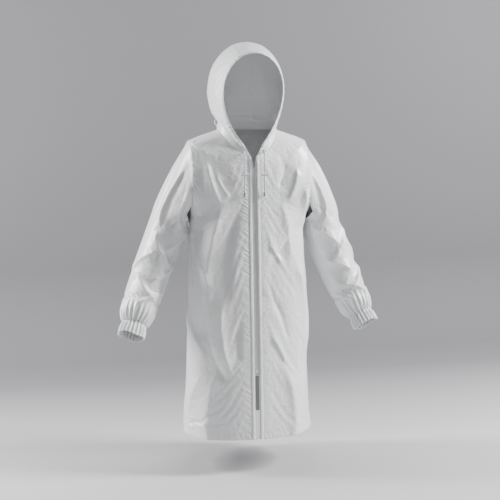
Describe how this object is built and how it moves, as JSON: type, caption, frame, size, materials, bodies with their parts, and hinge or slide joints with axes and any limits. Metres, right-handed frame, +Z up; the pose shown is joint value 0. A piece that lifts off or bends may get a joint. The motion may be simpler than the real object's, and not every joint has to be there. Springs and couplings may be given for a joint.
{
  "type": "hooded protective coat",
  "caption": "Knee-length white hooded protective coat with a front zip, gathered elastic cuffs and a drawcord hood, hung open as if worn.",
  "frame": {"origin": "middle of the neck opening, level with the nape", "axes": "+Z up along the coat towards the hood, the wearer faces -Y, the wearer's left is +X"},
  "size_m": [0.8902, 0.3112, 1.296],
  "materials": {
    "bell_plastic": "moulded",
    "coated_cloth": "slightly glossy coating over a fine plain weave",
    "cord": "braided",
    "cuff_cloth": "gathered cloth",
    "elastic": "woven elastic",
    "eyelet_metal": "pressed metal",
    "grey_tape": "dark grey woven strip",
    "hood_cloth": "slightly glossy coating over a fine plain weave",
    "lock_plastic": "moulded",
    "mesh": "open mesh",
    "seam_tape": "smooth heat-sealed tape",
    "spring_steel": "drawn wire",
    "zip_coil": "moulded nylon coil",
    "zip_metal": "polished die-cast metal",
    "zip_stop_white": "moulded",
    "zip_tape": "woven tape"
  },
  "bodies": {
    "coat": {"front_panel_right": "coated_cloth", "front_panel_left": "coated_cloth", "back_panel": "coated_cloth", "neck_band": "coated_cloth", "hem_right": "coated_cloth", "hem_left": "coated_cloth", "hem_back_fold": "coated_cloth", "front_fold_right": "coated_cloth", "front_fold_left": "coated_cloth", "side_seam_tape_right": "seam_tape", "side_seam_tape_left": "seam_tape", "pocket_welt_right": "coated_cloth", "pocket_welt_left": "coated_cloth", "pocket_bag_right": "seam_tape", "pocket_bag_left": "seam_tape", "zip_tape_right": "zip_tape", "zip_tape_left": "zip_tape", "zip_coil_right": "zip_coil", "zip_coil_left": "zip_coil", "zip_top_stops": "zip_metal", "zip_bottom_box": "zip_stop_white", "lower_placket": "coated_cloth", "grey_strip": "grey_tape", "eyelet_right": "eyelet_metal", "eyelet_left": "eyelet_metal", "drawcord_right": "cord", "drawcord_left": "cord", "cord_bell_right": "bell_plastic", "cord_bell_left": "bell_plastic", "hang_loop": "zip_tape"},
    "hood": {"hood_side_right": "hood_cloth", "hood_side_left": "hood_cloth", "hood_crown": "hood_cloth", "hood_casing": "hood_cloth", "drawcord_in_casing": "cord"},
    "sleeve_right": {"sleeve_right": "coated_cloth", "cuff_right": "cuff_cloth", "cuff_elastic_right": "elastic", "underarm_vent_right": "mesh"},
    "cord_lock_right": {"cord_lock_right": "lock_plastic", "lock_spring_right": "spring_steel"},
    "lock_button_right": {"lock_button_right": "lock_plastic"},
    "sleeve_left": {"sleeve_left": "coated_cloth", "cuff_left": "cuff_cloth", "cuff_elastic_left": "elastic", "underarm_vent_left": "mesh"},
    "cord_lock_left": {"cord_lock_left": "lock_plastic", "lock_spring_left": "spring_steel"},
    "lock_button_left": {"lock_button_left": "lock_plastic"},
    "zip_slider": {"zip_slider": "zip_metal"},
    "zip_pull": {"zip_pull": "zip_metal"}
  },
  "joints": [
    {"name": "zip_slide", "type": "slide", "parent": "coat", "child": "zip_slider", "axis": [0, -0.068, -0.9977], "range_m": [0, 0.68]},
    {"name": "pull_swing", "type": "hinge", "parent": "zip_slider", "child": "zip_pull", "pos_m": [0, -0.09974, -0.10283], "axis": [-1, 0, 0], "range_deg": [0, 160]},
    {"name": "hood_fold", "type": "hinge", "parent": "coat", "child": "hood", "pos_m": [0, 0.072, 0.0186], "axis": [-1, 0, 0], "range_deg": [0, 75]},
    {"name": "sleeve_right_lift", "type": "hinge", "parent": "coat", "child": "sleeve_right", "pos_m": [-0.1962, 0, -0.044], "axis": [0, 1, 0], "range_deg": [0, 60]},
    {"name": "cord_lock_right_slide", "type": "slide", "parent": "coat", "child": "cord_lock_right", "axis": [0, 0, 1], "range_m": [-0.05, 0.045]},
    {"name": "lock_button_right_press", "type": "slide", "parent": "cord_lock_right", "child": "lock_button_right", "axis": [1, 0, 0], "range_m": [0, 0.003], "stiffness_N_per_m": 300, "springref_m": -0.002, "deforming": ["lock_spring_right"]},
    {"name": "sleeve_left_lift", "type": "hinge", "parent": "coat", "child": "sleeve_left", "pos_m": [0.1962, 0, -0.044], "axis": [0, -1, 0], "range_deg": [0, 60]},
    {"name": "cord_lock_left_slide", "type": "slide", "parent": "coat", "child": "cord_lock_left", "axis": [0, 0, 1], "range_m": [-0.05, 0.045]},
    {"name": "lock_button_left_press", "type": "slide", "parent": "cord_lock_left", "child": "lock_button_left", "axis": [-1, 0, 0], "range_m": [0, 0.003], "stiffness_N_per_m": 300, "springref_m": -0.002, "deforming": ["lock_spring_left"]}
  ]
}
